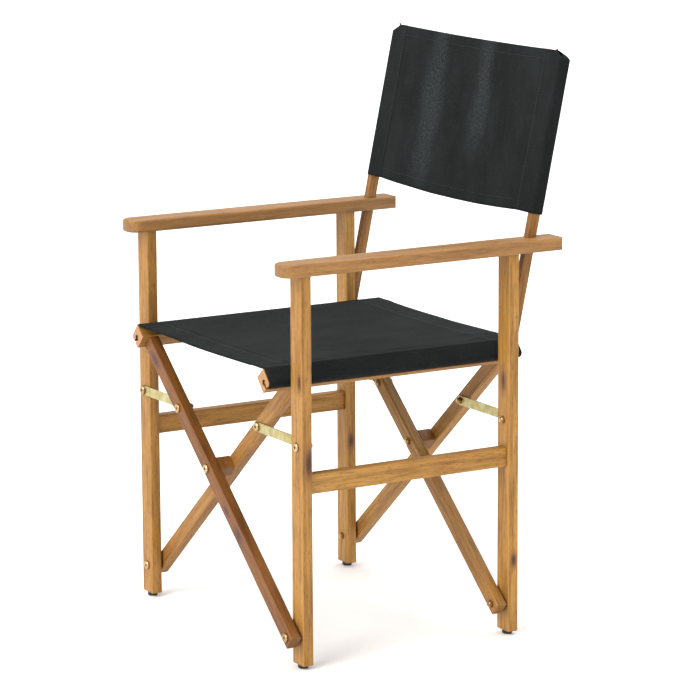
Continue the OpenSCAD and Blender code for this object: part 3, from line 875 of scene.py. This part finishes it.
class CHAIR_OT_back(bpy.types.Operator):
    """Hang the back cloth between the posts, with a sewn sleeve round each post"""

    bl_idname = "chair.back"
    bl_label = "Back sling"

    def execute(self, context):
        look = context.scene.chair_look
        # Place across the cloth, half width and lower end of each crease's band of painted sheen
        crease_sheen = ((-95 * MM, 30 * MM, -10 * MM), (42 * MM, 26 * MM, 55 * MM))
        material = woven_polyester("woven_polyester_back", crease_sheen)
        sleeve_material = woven_polyester("woven_polyester_sleeves")
        thread = sewing_thread("sewing_thread_back")
        foot, up, rise = post_line()
        backwards = Vector((0, up.z, -up.y))
        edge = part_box("back_sling")[1].x
        post_in, post_out = (corner.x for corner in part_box("left_back_post"))
        post_points = [(p - foot).dot(backwards) for p in points_of("left_back_post") if p.z > foot.z]
        post_thick = max(post_points) - min(post_points)
        # The panel and the sleeves are each half the sling's thickness, because they lie on each other
        wall = look.cloth_thickness / 2
        face = 0.75 * wall
        behind = face + 1.17 * wall
        seam_x = edge - look.sleeve_depth

        def place(x, depth, h):
            """A point by its place across, its depth behind the sling's front face and its height."""
            return Vector((x, 0, 0)) + foot + backwards * depth + up * h

        def bow(x, h):
            """Depth of the slack panel behind the posts' front line, with upright ripples."""
            inner = max(0.0, 1 - (x / seam_x) ** 2)
            level = h / rise
            depth = 5.0 * inner
            phase = 3.1 * math.pi * (x / seam_x) + 0.9 + 0.5 * math.sin(2.2 * level)
            waves = 2.6 * math.sin(phase) * (0.6 + 0.4 * math.sin(math.pi * level))
            broad = 3.0 * noise.noise(Vector((x * 11 + level, h * 5, 4.2)))
            small = 1.2 * noise.noise(Vector((x * 30, h * 12, 9.1)))
            return (depth + (waves + broad + small) * min(1.0, 2.5 * inner)) * MM

        def drop(x):
            """How far the top and bottom edges hang in the middle: (top, bottom)."""
            inner = max(0.0, 1 - (x / seam_x) ** 2)
            return 1.8 * MM * inner, 6.5 * MM * inner

        panel_end = seam_x + 24 * MM
        columns, levels = 84, 44
        xs = [-panel_end + 2 * panel_end * k / columns for k in range(columns + 1)]
        rows, flats = [], []
        for j in range(levels + 1):
            t = j / levels
            row = []
            for x in xs:
                top, bottom = drop(x)
                h = -bottom + (rise - 0.6 * MM - top + bottom) * t
                row.append(place(x, behind + bow(x, h), h))
            rows.append(row)
            flats.append([(x, rise * t) for x in xs])
        panel = cloth("back_panel", rows, flats, wall, material)

        sleeves = []
        for side, sign in SIDES.items():
            # The sleeve is loose behind the post, and its top is pinched flat and cut off at a slant
            loose = 3.2 * MM
            inside, outside = post_in - 2.0 * MM, edge - face
            back_depth = post_thick + 4 * wall + loose
            pinched = 4 * MM
            slant = 7.5 * MM
            front_r, back_r, inner_r = 3 * MM, 5 * MM, 4 * MM
            quarter = math.pi / 2
            line = [(seam_x - 1 * MM, behind + 0.4 * MM), (seam_x + 3 * MM, face)]
            line += [(outside - front_r, face)]
            line += arc((outside - front_r, face + front_r), front_r, -quarter, 0, 4)[1:]
            line += arc((outside - back_r, back_depth - back_r), back_r, 0, quarter, 5)
            line += arc((inside + inner_r, back_depth - inner_r), inner_r, quarter, math.radians(150), 4)
            line += [(seam_x + 9 * MM, behind + 2.6 * MM), (seam_x, behind + wall + 0.6 * MM)]
            line = even(line, 3.5 * MM)
            run = running_lengths(line)
            middle = (face + back_depth) / 2
            sleeve_rows, sleeve_flats = [], []
            steps = 56
            for j in range(steps + 1):
                h = (rise - 0.4 * MM) * j / steps
                pinch = smooth((h - (rise - pinched)) / pinched)
                top = smooth((h - rise * 0.72) / (rise * 0.28))
                row, flat = [], []
                for (x, depth), s in zip(line, run):
                    outer = smooth((x - (edge - 20 * MM)) / (20 * MM))
                    from_seam = smooth((x - seam_x) / (12 * MM))
                    d = depth + (middle * 0.55 - depth) * pinch * 0.8 * from_seam
                    slack = 0.6 * MM * smooth((depth - 3 * MM) / (6 * MM))
                    wander = slack * noise.noise(Vector((x * 25 * sign, depth * 40, h * 14)))
                    level = h - slant * outer * top
                    row.append(place(sign * (x - 2.2 * MM * pinch * outer), d + wander, level))
                    flat.append((s, h))
                sleeve_rows.append(row)
                sleeve_flats.append(flat)
            if sign < 0:
                sleeve_rows = [row[::-1] for row in sleeve_rows]
                sleeve_flats = [row[::-1] for row in sleeve_flats]
            sleeve = cloth(f"back_{side}_sleeve", sleeve_rows, sleeve_flats, wall, sleeve_material)
            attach(sleeve, f"{side}_frame")
            sleeves.append((sleeve, run[-1]))

            front = -backwards
            end_gap = 4 * MM
            levels_up = [end_gap + (rise - 2 * end_gap) * k / 60 for k in range(61)]
            seam_at = sign * (seam_x + 4 * MM)
            seam_line = [(place(seam_at, face - 0.5 * wall, h), front) for h in levels_up]
            seam = stitches(f"back_{side}_sleeve_stitches", [seam_line], thread)
            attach(seam, f"{side}_frame")

            # Thread ends left at the sleeve's upper corner
            chance = random.Random(40 + sign)
            tuft = bpy.data.curves.new(f"back_{side}_thread_ends", "CURVE")
            tuft.dimensions = "3D"
            tuft.bevel_depth = 0.45 * MM
            tuft.bevel_resolution = 2
            for _ in range(5):
                spline = tuft.splines.new("POLY")
                spline.points.add(4)
                lean = chance.uniform(-0.7, 0.9)
                for k, point in enumerate(spline.points):
                    t = k / 4
                    x = edge - 17 * MM + lean * 5 * MM * t * t + chance.uniform(-0.5, 0.5) * MM
                    depth = face + 3 * MM + chance.uniform(-1, 1) * MM * t
                    level = rise - 3.5 * MM + 6.0 * MM * t * (1 - 0.25 * abs(lean))
                    point.co = (*place(sign * x, depth, level), 1)
            ends = bpy.data.objects.new(tuft.name, tuft)
            context.scene.collection.objects.link(ends)
            tuft.materials.append(thread)
            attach(ends, f"{side}_frame")

        hem_lines = []
        # The lower row stops short of where the sleeve comes over it when the chair folds
        for h0, end_x in ((look.back_hem, seam_x - 17 * MM), (rise - look.back_hem, seam_x)):
            line = []
            for k in range(121):
                x = -seam_x + (end_x + seam_x) * k / 120
                top, bottom = drop(x)
                h = h0 - (bottom if h0 < rise / 2 else top)
                line.append((place(x, behind + bow(x, h) - 0.5 * wall, h), -backwards))
            hem_lines.append(line)
        seams = stitches("back_hem_stitches", hem_lines, thread)

        # Folded, the left post is 191 mm nearer and 15 mm lower. The panel and its hem stitches ride with
        # the right frame, each with its own mesh
        for piece in (panel, seams):
            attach(piece, "right_frame")
            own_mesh(piece)
        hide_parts("back_sling")
        for sleeve, width in sleeves:
            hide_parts("back_sling")
        return {"FINISHED"}


class CHAIR_OT_stage(bpy.types.Operator):
    """Set up the pale floor, the soft studio light and the camera"""

    bl_idname = "chair.stage"
    bl_label = "Stage"

    def execute(self, context):
        look = context.scene.chair_look
        scene = context.scene
        shape = bmesh.new()
        bmesh.ops.create_grid(shape, x_segments=1, y_segments=1, size=20)
        mesh = bpy.data.meshes.new("studio_floor")
        shape.to_mesh(mesh)
        shape.free()
        mesh.materials.append(white_paper("matt_white_paper"))
        floor = bpy.data.objects.new("studio_floor", mesh)
        scene.collection.objects.link(floor)

        world = bpy.data.worlds.new("studio")
        scene.world = world
        world.use_nodes = True
        background = next(n for n in world.node_tree.nodes if n.type == "BACKGROUND")
        background.inputs["Color"].default_value = linear("#FFFFFF")
        background.inputs["Strength"].default_value = 0.82

        # name, direction it comes from, spread in degrees, strength, colour
        suns = (
            ("key", (0.22, -1.0, 0.85), 40, 2.5, "#FFFAF2"),
            ("overhead", (-0.25, 0.35, 1.0), 70, 1.7, "#FFFFFF"),
        )
        for name, source, spread, strength, colour in suns:
            lamp = bpy.data.lights.new(name, "SUN")
            lamp.angle = math.radians(spread)
            lamp.energy = strength
            lamp.color = linear(colour)[:3]
            holder = bpy.data.objects.new(name, lamp)
            holder.rotation_euler = Vector(source).to_track_quat("Z", "Y").to_euler()
            scene.collection.objects.link(holder)

        # A long lens from far off, turned a little about its own axis
        lens = bpy.data.cameras.new("camera")
        lens.sensor_width = 36
        lens.lens = 180.9
        lens.clip_end = 60
        camera = bpy.data.objects.new("camera", lens)
        turn = Euler((math.pi / 2 - look.camera_elevation, 0, look.camera_azimuth)).to_matrix()
        turn = turn @ Matrix.Rotation(math.radians(-0.28), 3, "Z")
        aim = Vector((-1.7 * MM, 7.8 * MM, 422.9 * MM))
        stand = aim + turn @ Vector((0, 0, look.camera_distance))
        camera.matrix_world = Matrix.Translation(stand) @ turn.to_4x4()
        scene.collection.objects.link(camera)
        scene.camera = camera
        scene.view_settings.view_transform = "Standard"
        return {"FINISHED"}


class CHAIR_PT_panel(bpy.types.Panel):
    """Lists the chair's sizes, colours and pieces"""

    bl_idname = "CHAIR_PT_panel"
    bl_label = "Folding chair"
    bl_space_type = "VIEW_3D"
    bl_region_type = "UI"
    bl_category = "Chair"

    def draw(self, context):
        for name in ChairLook.__annotations__:
            self.layout.prop(context.scene.chair_look, name)
        for step in STEPS:
            self.layout.operator(step.bl_idname)


STEPS = (CHAIR_OT_stage, CHAIR_OT_timber, CHAIR_OT_hardware, CHAIR_OT_seat, CHAIR_OT_back)
CLASSES = (ChairLook, *STEPS, CHAIR_PT_panel)


def register():
    for each in CLASSES:
        bpy.utils.register_class(each)
    bpy.types.Scene.chair_look = bpy.props.PointerProperty(type=ChairLook)


def unregister():
    del bpy.types.Scene.chair_look
    for each in reversed(CLASSES):
        bpy.utils.unregister_class(each)


def main():
    register()
    bpy.ops.chair.stage()
    bpy.ops.chair.timber()
    bpy.ops.chair.hardware()
    bpy.ops.chair.seat()
    bpy.ops.chair.back()


if __name__ == "__main__":
    main()
